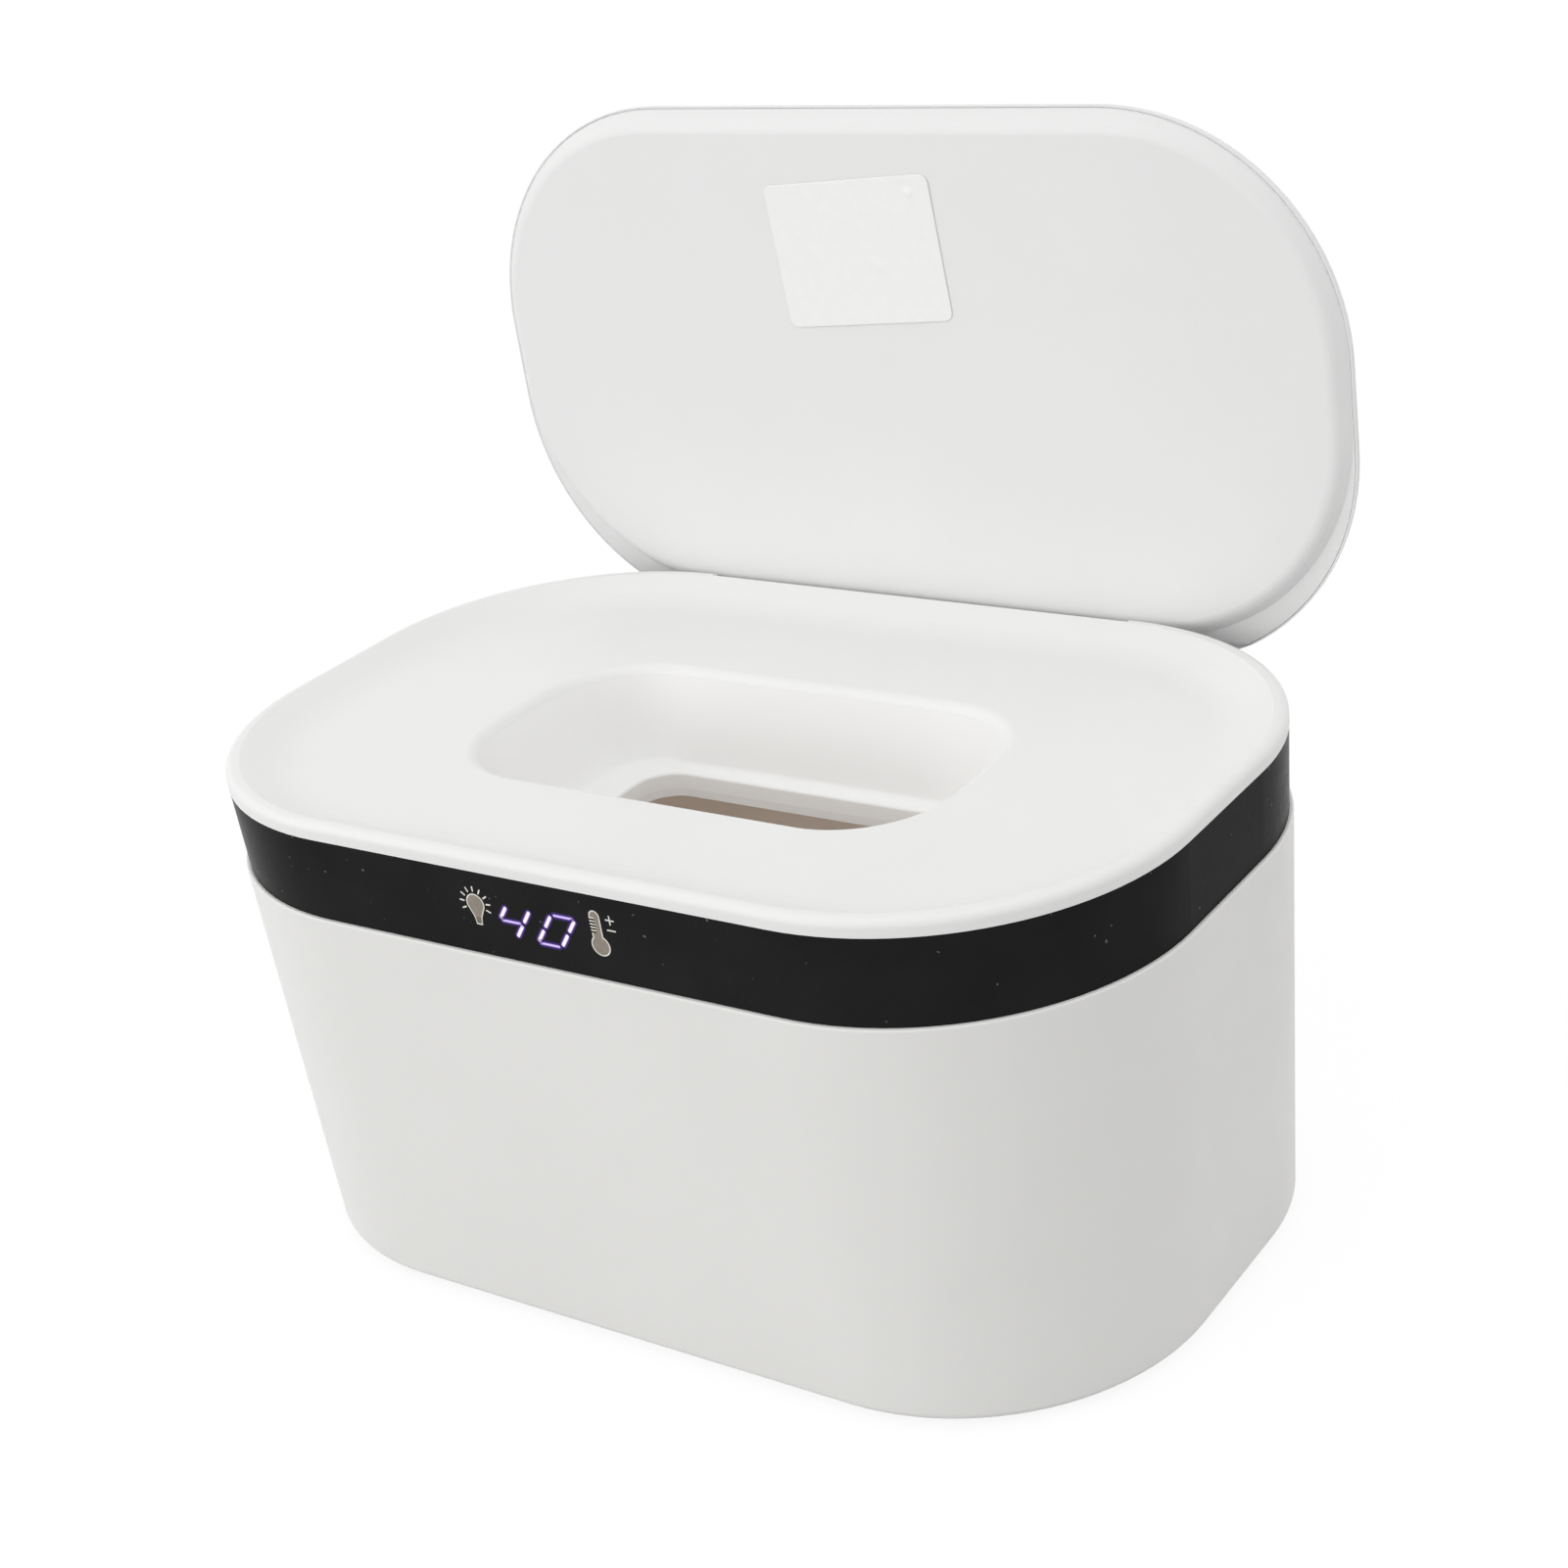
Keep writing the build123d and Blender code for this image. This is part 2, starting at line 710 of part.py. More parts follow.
with BuildPart() as top_deck:
    with BuildSketch(Plane.XY.offset(deck_bottom_z)):
        body_plan(band_top_z, band_setback - deck_proud)
    extrude(amount=deck_top_z - deck_bottom_z)
    fillet(top_deck.edges().group_by(Axis.Z)[-1], deck_round)
    upright_block(deck_under_z, deck_bottom_z, collar_inner + plug_gap)
    funnel_loft(deck_skin, funnel_floor_z - deck_skin, dish_z)
    slot_block(deck_skin, slot_bottom_z, funnel_floor_z)
    # Dish
    with BuildSketch(Plane.XY.offset(dish_z)):
        RectangleRounded(dish_length, dish_width, dish_corner)
    dish_lean = degrees(atan2(dish_run, dish_depth))
    extrude(amount=dish_depth, taper=-dish_lean, mode=Mode.SUBTRACT)
    # Funnel and slot
    funnel_loft(0, funnel_floor_z, dish_z, mode=Mode.SUBTRACT)
    slot_block(0, slot_bottom_z, funnel_floor_z, mode=Mode.SUBTRACT)
    # Rounded bottom of the dish, mouth and floor of the funnel, and lip of the slot
    fillet(edges_round_funnel(top_deck, dish_z, funnel_length, funnel_width, True), dish_round)
    fillet(edges_round_funnel(top_deck, dish_z, funnel_length, funnel_width, False), funnel_round)
    fillet(edges_round_funnel(top_deck, funnel_floor_z, slot_length, slot_width, True), floor_round)
    fillet(edges_round_funnel(top_deck, funnel_floor_z, slot_length, slot_width, False), slot_round)
    add(rim_cut.part, mode=Mode.SUBTRACT)
    # Pilot holes for the hinge bracket
    with BuildSketch(Plane.XY.offset(deck_under_z)):
        with Locations((-bracket_screw_x, hinge_y), (bracket_screw_x, hinge_y)):
            Circle(bracket_screw_radius)
    extrude(amount=bracket_screw_length - bracket_thick, mode=Mode.SUBTRACT)
top_deck.part.label = "top_deck"

with BuildPart() as slot_frame:
    slot_block(frame_rim, slot_bottom_z - frame_height, slot_bottom_z + frame_lip)
    slot_block(deck_skin + frame_gap, slot_bottom_z, slot_bottom_z + frame_lip, mode=Mode.SUBTRACT)
    slot_block(0, slot_bottom_z - frame_height, slot_bottom_z, mode=Mode.SUBTRACT)
slot_frame.part.label = "slot_frame"

# ---------------------------------------------------------------- hinge

bracket_low_z = deck_under_z - bracket_thick

with BuildPart() as hinge_bracket:
    slab(ear_inner + ear_thick, hinge_y - ear_radius, hinge_y + ear_radius, bracket_low_z, deck_under_z)
    for left in (-ear_inner - ear_thick, -ear_thick / 2, ear_inner):
        with BuildSketch(Plane.YZ.offset(left)):
            with Locations((hinge_y, hinge_z)):
                Circle(ear_radius)
            with Locations((hinge_y, (hinge_z + bracket_low_z) / 2)):
                Rectangle(2 * ear_radius, bracket_low_z - hinge_z)
        extrude(amount=ear_thick)
    pin_cylinder(pin_radius + pin_running, -pin_half, pin_half, mode=Mode.SUBTRACT)
    with BuildSketch(Plane.XY.offset(bracket_low_z)):
        with Locations((-bracket_screw_x, hinge_y), (bracket_screw_x, hinge_y)):
            Circle(bracket_screw_radius)
    extrude(amount=bracket_thick, mode=Mode.SUBTRACT)
hinge_bracket.part.label = "hinge_bracket"

with BuildPart() as bracket_screws:
    with BuildSketch(Plane.XY.offset(bracket_low_z)):
        with Locations((-bracket_screw_x, hinge_y), (bracket_screw_x, hinge_y)):
            Circle(bracket_head_radius)
    extrude(amount=-bracket_head_height)
    with BuildSketch(Plane.XY.offset(bracket_low_z)):
        with Locations((-bracket_screw_x, hinge_y), (bracket_screw_x, hinge_y)):
            Circle(bracket_screw_radius)
    extrude(amount=bracket_screw_length)
bracket_screws.part.label = "bracket_screws"

with BuildPart() as hinge_pin:
    pin_cylinder(pin_radius, -pin_half, pin_half)
    chamfer(hinge_pin.edges().filter_by(GeomType.CIRCLE), pin_edge)
hinge_pin.part.label = "hinge_pin"

# ---------------------------------------------------------------- lid

rib_starts = [
    -neck_half,
    -(rib_spacing + rib_thick) / 2,
    (rib_spacing - rib_thick) / 2,
    neck_half - rib_thick,
]


def lid_plan(inset):
    """Outline of the lid, moved inward by an inset."""
    with Locations((0, -lid_back - lid_width / 2)):
        RectangleRounded(lid_length - 2 * inset, lid_width - 2 * inset, lid_corner - inset)


def lid_hollow(inset, depth):
    """Hollow under the lid's top, moved inward by an inset, that stops at the hinge strip."""
    with BuildSketch(lid_frame.offset(lid_plane)) as plan:
        lid_plan(inset)
        with Locations((0, -neck_root)):
            Rectangle(lid_length, lid_width, align=(Align.CENTER, Align.MIN), mode=Mode.SUBTRACT)
    extrude(plan.sketch, amount=depth, mode=Mode.SUBTRACT)


def rim_reliefs():
    """Relief that lets the lid's back edge turn past the deck's rim."""
    pin_cylinder(neck_inner, -neck_half, neck_half, mode=Mode.SUBTRACT)
    pin_cylinder(corner_relief, -lid_length / 2, -neck_half, mode=Mode.SUBTRACT)
    pin_cylinder(corner_relief, neck_half, lid_length / 2, mode=Mode.SUBTRACT)


def plateau_plan(end_run, side_run, corner_run):
    """Outline of the panel's plateau at its foot, moved inward by a run on each side."""
    with Locations((0, -(plateau_front + plateau_back) / 2)):
        RectangleRounded(
            lid_length - 2 * plateau_inset - 2 * end_run,
            plateau_front - plateau_back - 2 * side_run,
            lid_corner - plateau_inset - corner_run,
        )


def plateau_loft(lift, mode=Mode.ADD):
    """Raised field of the panel with its sloping border, lifted towards the lid's top."""
    with BuildSketch(lid_frame.offset(lid_plane + lift)) as foot:
        plateau_plan(0, 0, 0)
    with BuildSketch(lid_frame.offset(lid_plane + lift - plateau_depth)) as field:
        plateau_plan(plateau_end_run, plateau_side_run, plateau_corner_run)
    loft([field.sketch.face(), foot.sketch.face()], ruled=True, mode=mode)


with BuildPart() as lid_cover:
    with BuildSketch(lid_frame.offset(lid_plane)):
        lid_plan(0)
    extrude(amount=lid_height)
    fillet(lid_cover.faces().sort_by(Axis(lid_frame.origin, lid_up))[-1].edges(), lid_round)
    # Seat of the inner panel and the hollow above it
    lid_hollow(cover_lip, panel_thick)
    lid_hollow(cover_rim, lid_height - cover_wall)
    rim_reliefs()
    # Neck that curves over the deck's rim and down behind it
    with BuildSketch(lid_section(-neck_half)):
        with Locations((-neck_root / 2, (lid_plane + lid_top) / 2)):
            Rectangle(neck_root, lid_height)
        Circle(neck_inner, mode=Mode.SUBTRACT)
        ring_sector(neck_inner, neck_outer, 90, neck_end)
    extrude(amount=2 * neck_half)
    # Ribs from the neck in to the hinge pin
    for start in rib_starts:
        with BuildSketch(lid_section(start)):
            ring_sector(pin_radius, neck_inner + pin_radius, rib_top, neck_end)
            Circle(ear_radius)
        extrude(amount=rib_thick)
    pin_cylinder(pin_radius + pin_running, -pin_half, pin_half, mode=Mode.SUBTRACT)
lid_cover.part.label = "lid_cover"

with BuildPart() as lid_panel:
    with BuildSketch(lid_frame.offset(lid_plane)):
        lid_plan(cover_lip + panel_gap)
        with Locations((0, -neck_root - panel_gap)):
            Rectangle(lid_length, lid_width, align=(Align.CENTER, Align.MIN), mode=Mode.SUBTRACT)
    extrude(amount=panel_thick)
    plateau_loft(0)
    fillet(lid_panel.faces().sort_by(Axis(lid_frame.origin, lid_up))[0].edges(), plateau_round)
    plateau_loft(panel_wall, mode=Mode.SUBTRACT)
    rim_reliefs()
lid_panel.part.label = "lid_panel"

parts = [
    base_shell, display_band, base_plate, rubber_feet, base_screws, inner_tank, wall_heater,
    heater_foam, floor_heater, temperature_sensor, thermal_cutout, control_board, board_screws,
    display_module, touch_pads, icon_leds, power_inlet, inlet_nut, top_deck, slot_frame,
    hinge_bracket, bracket_screws, hinge_pin, lid_cover, lid_panel,
]
for piece in parts:
    export_step(piece.part, "parts/" + piece.part.label + ".step")
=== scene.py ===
import json
import math
import bmesh
import bpy
from mathutils import Matrix, Vector, noise


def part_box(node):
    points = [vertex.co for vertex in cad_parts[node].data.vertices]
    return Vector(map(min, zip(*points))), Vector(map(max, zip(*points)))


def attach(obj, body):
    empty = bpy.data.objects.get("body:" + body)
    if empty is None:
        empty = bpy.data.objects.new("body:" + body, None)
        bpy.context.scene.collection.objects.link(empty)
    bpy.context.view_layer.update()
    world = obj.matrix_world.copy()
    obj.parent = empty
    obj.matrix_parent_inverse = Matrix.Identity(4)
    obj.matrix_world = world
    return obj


# Baby wipe warmer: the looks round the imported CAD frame. Metres, +Z up, front towards -Y.
# Digits, icons and sticker are laid out in millimetres, which MM turns into metres.

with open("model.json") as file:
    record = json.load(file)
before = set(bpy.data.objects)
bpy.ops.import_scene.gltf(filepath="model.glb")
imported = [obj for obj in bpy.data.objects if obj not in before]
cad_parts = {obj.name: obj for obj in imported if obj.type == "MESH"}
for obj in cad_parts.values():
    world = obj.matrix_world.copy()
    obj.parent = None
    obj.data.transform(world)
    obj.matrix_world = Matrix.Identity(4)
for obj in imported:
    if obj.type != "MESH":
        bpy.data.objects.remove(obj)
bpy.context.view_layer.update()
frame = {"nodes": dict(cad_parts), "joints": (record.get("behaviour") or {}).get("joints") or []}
nodes = frame["nodes"]
MM = 0.001

# ---------------------------------------------------------------- camera

CAMERA_AT = (0.332386, -0.427410, 0.342797)
CAMERA_YAW = -0.64596
CAMERA_PITCH = -0.42203
CAMERA_ROLL = -0.13985
CAMERA_LENS = 62.64
SENSOR = 36.0


def make_camera():
    """Camera at the photograph's viewpoint."""
    ahead = Vector(
        (
            math.sin(CAMERA_YAW) * math.cos(CAMERA_PITCH),
            math.cos(CAMERA_YAW) * math.cos(CAMERA_PITCH),
            math.sin(CAMERA_PITCH),
        )
    )
    level = Vector((math.cos(CAMERA_YAW), -math.sin(CAMERA_YAW), 0))
    over = level.cross(ahead)
    right = level * math.cos(CAMERA_ROLL) + over * math.sin(CAMERA_ROLL)
    up = over * math.cos(CAMERA_ROLL) - level * math.sin(CAMERA_ROLL)
    data = bpy.data.cameras.new("camera")
    data.lens = CAMERA_LENS
    data.sensor_width = SENSOR
    data.clip_start = 0.01
    camera = bpy.data.objects.new("camera", data)
    turn = Matrix((right, up, -ahead)).transposed().to_4x4()
    camera.matrix_world = Matrix.Translation(CAMERA_AT) @ turn
    bpy.context.collection.objects.link(camera)
    bpy.context.scene.camera = camera


# ---------------------------------------------------------------- materials

BODY_WHITE = (0.847, 0.843, 0.824)
LID_WHITE = (0.845, 0.845, 0.840)
DECK_WHITE = (0.865, 0.865, 0.858)
# Painted light: a lighter white on the funnel's walls, standing in for light that fills the
# funnel, and the height over which it fades in below the dish.
FUNNEL_PAINTED_LIGHT = (0.95, 0.95, 0.942)
DISH_Z = 0.11235
FUNNEL_PAINTED_LIGHT_FADE = 0.0025
WHITE_HAZE = 0.12
BAND_COLOR = (0.0175, 0.0175, 0.018)
BAND_ROUGHNESS = 0.3
BAND_IOR = 1.075
BAND_GRAIN = {"scale": 3200, "detail": 2}
BAND_GRAIN_DEPTH = 1.2e-6
DUST_COLOR = (0.3, 0.3, 0.29)
# Mottling fades between two values of a noise. A finer noise does the same to the roughness,
# between two shares of it.
MOTTLE_RANGE = (0.35, 0.65)
FINE_SCALE = 9
FINE_RANGE = (0.3, 0.7)
FINE_SHARE = (0.88, 1.14)


class Material:
    """A Principled material with a few helpers that add procedural detail."""

    def __init__(self, name, color, roughness, **sockets):
        self.data = bpy.data.materials.new(name)
        self.data.use_nodes = True
        self.tree = self.data.node_tree
        self.shader = self.tree.nodes["Principled BSDF"]
        self.color = color
        self.roughness = roughness
        self.set("Base Color", (*color, 1))
        self.set("Roughness", roughness)
        for socket, value in sockets.items():
            self.set(socket.replace("_", " "), value)
        self.place = self.node("ShaderNodeTexCoord").outputs["Object"]
        self.normal = None

    def node(self, kind, **settings):
        made = self.tree.nodes.new(kind)
        for name, value in settings.items():
            setattr(made, name, value)
        return made

    def link(self, start, end):
        self.tree.links.new(start, end)

    def set(self, socket, value):
        self.shader.inputs[socket].default_value = value

    def noise(self, scale, detail=3.0, stretch=None):
        """Noise value at a scale in features per metre, stretched along axes if asked."""
        place = self.place
        if stretch:
            mapping = self.node("ShaderNodeMapping")
            mapping.inputs["Scale"].default_value = stretch
            self.link(place, mapping.inputs["Vector"])
            place = mapping.outputs["Vector"]
        made = self.node("ShaderNodeTexNoise")
        made.inputs["Scale"].default_value = scale
        made.inputs["Detail"].default_value = detail
        self.link(place, made.inputs["Vector"])
        return made.outputs["Fac"]

    def ramp(self, value, low, high, out_low, out_high):
        """The value rescaled from one range to another."""
        made = self.node("ShaderNodeMapRange")
        made.inputs["From Min"].default_value = low
        made.inputs["From Max"].default_value = high
        made.inputs["To Min"].default_value = out_low
        made.inputs["To Max"].default_value = out_high
        self.link(value, made.inputs["Value"])
        return made.outputs["Result"]

    def mix(self, value, first, second):
        """Colour between two colours or sockets, by a value from 0 to 1."""
        made = self.node("ShaderNodeMix", data_type="RGBA")
        self.link(value, made.inputs[0])
        for socket, color in ((made.inputs[6], first), (made.inputs[7], second)):
            if isinstance(color, bpy.types.NodeSocket):
                self.link(color, socket)
            else:
                socket.default_value = (*color, 1)
        return made.outputs[2]

    def mottle(self, scale, amount):
        """Soft variation of the base colour, and a finer one of the roughness."""
        value = self.ramp(self.noise(scale), *MOTTLE_RANGE, 0, 1)
        dark = tuple(c * (1 - amount) for c in self.color)
        light = tuple(min(c * (1 + amount), 1) for c in self.color)
        self.base = self.mix(value, dark, light)
        self.link(self.base, self.shader.inputs["Base Color"])
        smooth, rough = (self.roughness * share for share in FINE_SHARE)
        fine = self.ramp(self.noise(scale * FINE_SCALE), *FINE_RANGE, smooth, rough)
        self.link(fine, self.shader.inputs["Roughness"])

    def bump(self, height, depth):
        """Adds a bump of a depth in metres on top of those before it."""
        made = self.node("ShaderNodeBump")
        made.inputs["Strength"].default_value = 1.0
        made.inputs["Distance"].default_value = depth
        self.link(height, made.inputs["Height"])
        if self.normal:
            self.link(self.normal, made.inputs["Normal"])
        self.normal = made.outputs["Normal"]
        self.link(self.normal, self.shader.inputs["Normal"])


def moulded_white(name, color, roughness, grain, haze=WHITE_HAZE, inner=None):
    """Satin white ABS: faint flow variation, a slow waviness and fine mould grain.

    An inner colour takes over below the dish, on the walls of the funnel: a lighter white there
    that is painted light, standing in for light that fills the funnel.
    """
    made = Material(
        name,
        color,
        roughness,
        IOR=1.46,
        Subsurface_Weight=haze,
        Subsurface_Radius=(1.0, 0.9, 0.8),
        Subsurface_Scale=0.0012,
    )
    made.mottle(scale=22, amount=0.008)
    if inner:
        # Painted light: the funnel's walls turn lighter below the dish, fading in over a few
        # millimetres.
        split = made.node("ShaderNodeSeparateXYZ")
        made.link(made.place, split.inputs["Vector"])
        depth = made.ramp(split.outputs["Z"], DISH_Z, DISH_Z - FUNNEL_PAINTED_LIGHT_FADE, 0, 1)
        made.link(made.mix(depth, made.base, inner), made.shader.inputs["Base Color"])
    made.bump(made.noise(scale=14, detail=1), depth=0.25 * MM)
    made.bump(made.noise(scale=2600, detail=2), depth=grain)
    return made.data


def smoked_band():
    """Dark satin panel with a few dust specks on it, at the peaks of a noise."""
    made = Material("smoked_band", BAND_COLOR, BAND_ROUGHNESS, IOR=BAND_IOR)
    made.mottle(scale=60, amount=0.1)
    peaks = made.noise(scale=900, detail=0)
    speck = made.ramp(peaks, low=0.845, high=0.87, out_low=0, out_high=0.4)
    dusty = made.mix(speck, made.base, DUST_COLOR)
    made.link(dusty, made.shader.inputs["Base Color"])
    made.bump(made.noise(**BAND_GRAIN), BAND_GRAIN_DEPTH)
    made.bump(made.noise(scale=20, detail=1), depth=0.12 * MM)
    return made.data


def moulded(name, color, roughness, grain=10e-6, amount=0.06, **sockets):
    """Plain moulded plastic or rubber with mottling and grain."""
    made = Material(name, color, roughness, **sockets)
    made.mottle(scale=70, amount=amount)
    made.bump(made.noise(scale=1900, detail=3), depth=grain)
    return made.data


def tank_plastic():
    """Pale warm plastic, whose faint glow stands for light that soaks into the closed tank."""
    return moulded(
        "tank_plastic",
        (0.88, 0.83, 0.78),
        0.38,
        amount=0.02,
        Emission_Strength=0.05,
        Emission_Color=(1.0, 0.8, 0.66, 1),
    )


def metal(name, color, roughness, stretch):
    """Worked metal with fine lines along one direction."""
    made = Material(name, color, roughness, Metallic=1.0)
    made.mottle(scale=160, amount=0.08)
    made.bump(made.noise(scale=900, detail=4, stretch=stretch), depth=12e-6)
    return made.data


def foam():
    """Closed-cell foam with a pitted skin."""
    made = Material("foam", (0.66, 0.66, 0.64), 0.9, Sheen_Weight=0.2)
    made.mottle(scale=120, amount=0.07)
    made.bump(made.noise(scale=700, detail=4), depth=0.3 * MM)
    return made.data


def circuit_board():
    """Green solder mask with faint copper lanes under it."""
    made = Material("circuit_board", (0.015, 0.11, 0.045), 0.35, Coat_Weight=0.3)
    made.mottle(scale=90, amount=0.1)
    lanes = made.node("ShaderNodeTexBrick")
    lanes.inputs["Scale"].default_value = 160
    lanes.inputs["Mortar Size"].default_value = 0.06
    made.link(made.place, lanes.inputs["Vector"])
    line = made.ramp(lanes.outputs["Fac"], low=0, high=1, out_low=0, out_high=0.6)
    coppery = made.mix(line, made.base, (0.05, 0.2, 0.09))
    made.link(coppery, made.shader.inputs["Base Color"])
    made.bump(lanes.outputs["Fac"], depth=30e-6)
    return made.data


def printed_ink(name, color):
    """Slightly metallic ink with fine level lines in it."""
    made = Material(name, color, 0.42, Metallic=0.25)
    made.mottle(scale=900, amount=0.08)
    made.bump(made.noise(scale=2600, detail=2, stretch=(0.15, 1, 3)), depth=20e-6)
    return made.data


def sticker_film():
    """White film label with a thin gloss coat and a faint fibre."""
    made = Material("sticker_film", (0.92, 0.92, 0.915), 0.3, Coat_Weight=0.15)
    made.mottle(scale=420, amount=0.008)
    made.bump(made.noise(scale=1500, detail=4, stretch=(1, 3, 1)), depth=12e-6)
    return made.data


def digit_light():
    """The band's surface, lit by the colour that the digits' mesh carries."""
    made = Material("digit_light", BAND_COLOR, BAND_ROUGHNESS, IOR=BAND_IOR)
    paint = made.node("ShaderNodeVertexColor", layer_name="glow")
    made.link(paint.outputs["Color"], made.shader.inputs["Emission Color"])
    made.set("Emission Strength", 1.0)
    made.bump(made.noise(**BAND_GRAIN), BAND_GRAIN_DEPTH)
    return made.data


def dress_frame():
    """Gives every CAD node its finished material."""
    steel = metal("zinc_steel", (0.62, 0.62, 0.63), 0.34, stretch=(1, 1, 6))
    finishes = {
        "base_shell": moulded_white("shell_white", BODY_WHITE, 0.42, grain=12e-6),
        "base_plate": moulded_white("plate_white", (0.78, 0.78, 0.77), 0.5, grain=30e-6),
        # The deck's funnel walls are painted lighter: painted light for the light that fills the
        # funnel.
        "top_deck": moulded_white(
            "deck_white", DECK_WHITE, 0.42, grain=8e-6, haze=0, inner=FUNNEL_PAINTED_LIGHT
        ),
        "lid_cover": moulded_white("lid_white", LID_WHITE, 0.36, grain=8e-6),
        "lid_panel": moulded_white("panel_white", LID_WHITE, 0.4, grain=10e-6),
        # The slot frame's white is lighter than the shell's: painted light that lifts it in the
        # shade of the slot.
        "slot_frame": moulded_white(
            "frame_white_painted_light", (0.9, 0.895, 0.885), 0.4, grain=8e-6, haze=0
        ),
        "hinge_bracket": moulded_white("bracket_white", (0.8, 0.8, 0.79), 0.45, grain=10e-6),
        "display_band": smoked_band(),
        "rubber_feet": moulded("foot_rubber", (0.05, 0.05, 0.05), 0.75, grain=40e-6),
        "inner_tank": tank_plastic(),
        "wall_heater": moulded("heater_film", (0.5, 0.26, 0.07), 0.35, Coat_Weight=0.4),
        "heater_foam": foam(),
        "floor_heater": metal("heater_plate", (0.75, 0.75, 0.76), 0.3, stretch=(1, 8, 1)),
        "temperature_sensor": moulded("sensor_black", (0.04, 0.04, 0.04), 0.5),
        "thermal_cutout": moulded("cutout_black", (0.06, 0.05, 0.05), 0.45),
        "control_board": circuit_board(),
        "display_module": moulded("display_epoxy", (0.03, 0.03, 0.035), 0.2),
        "touch_pads": moulded("touch_rubber", (0.06, 0.06, 0.06), 0.7, grain=30e-6),
        "icon_leds": moulded("led_epoxy", (0.75, 0.75, 0.72), 0.15),
        "power_inlet": moulded("inlet_nylon", (0.025, 0.025, 0.025), 0.45),
        "inlet_nut": metal("nickel_nut", (0.66, 0.63, 0.56), 0.3, stretch=(6, 1, 1)),
        "hinge_pin": metal("ground_pin", (0.6, 0.6, 0.61), 0.22, stretch=(8, 1, 1)),
        "base_screws": steel,
        "board_screws": steel,
        "bracket_screws": steel,
    }
    for name, finish in finishes.items():
        for slot in nodes[name].material_slots:
            slot.material = finish


# ---------------------------------------------------------------- small pieces

BAND_DRAFT = math.radians(2.65)
PRINT_DEPTH = 0.03 * MM
ROUND_STEPS = 6


def on_band(x, z, lift):
    """Point on the flat front of the band, a lift in front of it; x and z in millimetres."""
    low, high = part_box("display_band")
    face = low.y + (high.z - z * MM) * math.tan(BAND_DRAFT)
    return Vector((x * MM, face - lift / math.cos(BAND_DRAFT), z * MM))


def add_piece(name, mesh, body, finish):
    """Links a mesh as a piece that rides on a body."""
    piece = bpy.data.objects.new(name, mesh)
    bpy.context.collection.objects.link(piece)
    piece.data.materials.append(finish)
    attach(piece, body)
    return piece


def plates_on_band(name, outlines, lift, finish):
    """Thin closed plates on the band's front, one for each outline of (x, z) points.

    Each reaches from a lift in front of the band to PRINT_DEPTH behind its face.
    """
    build = bmesh.new()
    for points in outlines:
        face = build.faces.new([build.verts.new(on_band(x, z, lift)) for x, z in points])
        if face.normal.y > 0:
            face.normal_flip()
        made = bmesh.ops.extrude_face_region(build, geom=[face])
        back = [v for v in made["geom"] if isinstance(v, bmesh.types.BMVert)]
        bmesh.ops.translate(build, verts=back, vec=(0, PRINT_DEPTH + lift, 0))
    bmesh.ops.recalc_face_normals(build, faces=build.faces)
    mesh = bpy.data.meshes.new(name)
    build.to_mesh(mesh)
    build.free()
    add_piece(name, mesh, "base", finish)


def arc(x, z, radius, first, last, steps):
    """Points along an arc, angles in degrees."""
    angles = [math.radians(first + (last - first) * i / steps) for i in range(steps + 1)]
    return [(x + radius * math.cos(a), z + radius * math.sin(a)) for a in angles]


def bar(x, z, angle, inner, outer, width):
    """Bar with round ends that points away from (x, z) at an angle in degrees."""
    turn = math.radians(angle)
    along = (math.cos(turn), math.sin(turn))
    far = (x + along[0] * outer, z + along[1] * outer)
    near = (x + along[0] * inner, z + along[1] * inner)
    tip = arc(*far, width / 2, angle - 90, angle + 90, ROUND_STEPS)
    return tip + arc(*near, width / 2, angle + 90, angle + 270, ROUND_STEPS)


# ---------------------------------------------------------------- digits

DIGIT_SLANT = 0.68
DIGIT_HEIGHT = 7.2
DIGIT_WIDTH = 6.0
DIGIT_LOW = 99.5
DIGIT_LEFT = {"4": -11.4, "0": 0.0}
UPRIGHT_TRIM = 0.8
LEVEL_TRIM = 0.75
RING_STEPS = 5
# Ends of each bar of a digit, as columns from the left and half heights from below
SEGMENTS = {
    "top": ((0, 2), (1, 2)),
    "middle": ((0, 1), (1, 1)),
    "bottom": ((0, 0), (1, 0)),
    "left_high": ((0, 1), (0, 2)),
    "left_low": ((0, 0), (0, 1)),
    "right_high": ((1, 1), (1, 2)),
    "right_low": ((1, 0), (1, 1)),
}
LIT = {
    "4": ("left_high", "middle", "right_high", "right_low"),
    "0": ("top", "bottom", "left_high", "left_low", "right_high", "right_low"),
}
# Rings of a bar from its middle line outward: half-width in millimetres, and its light
UPRIGHT_RINGS = (
    (0.2, (1.0, 0.93, 1.0)),
    (0.34, (0.85, 0.7, 1.0)),
    (0.46, (0.1, 0.045, 0.28)),
    (0.95, (0.0, 0.0, 0.0)),
)
LEVEL_RINGS = (
    (0.1, (0.74, 0.6, 0.98)),
    (0.22, (0.5, 0.36, 0.9)),
    (0.36, (0.06, 0.025, 0.2)),
    (0.95, (0.0, 0.0, 0.0)),
)


def bar_ring(start, end, half):
    """Closed outline at a distance from a bar's middle line, from start to end."""
    heading = math.degrees(math.atan2(end[1] - start[1], end[0] - start[0]))
    tip = arc(*end, half, heading - 90, heading + 90, RING_STEPS)
    return tip + arc(*start, half, heading + 90, heading + 270, RING_STEPS)


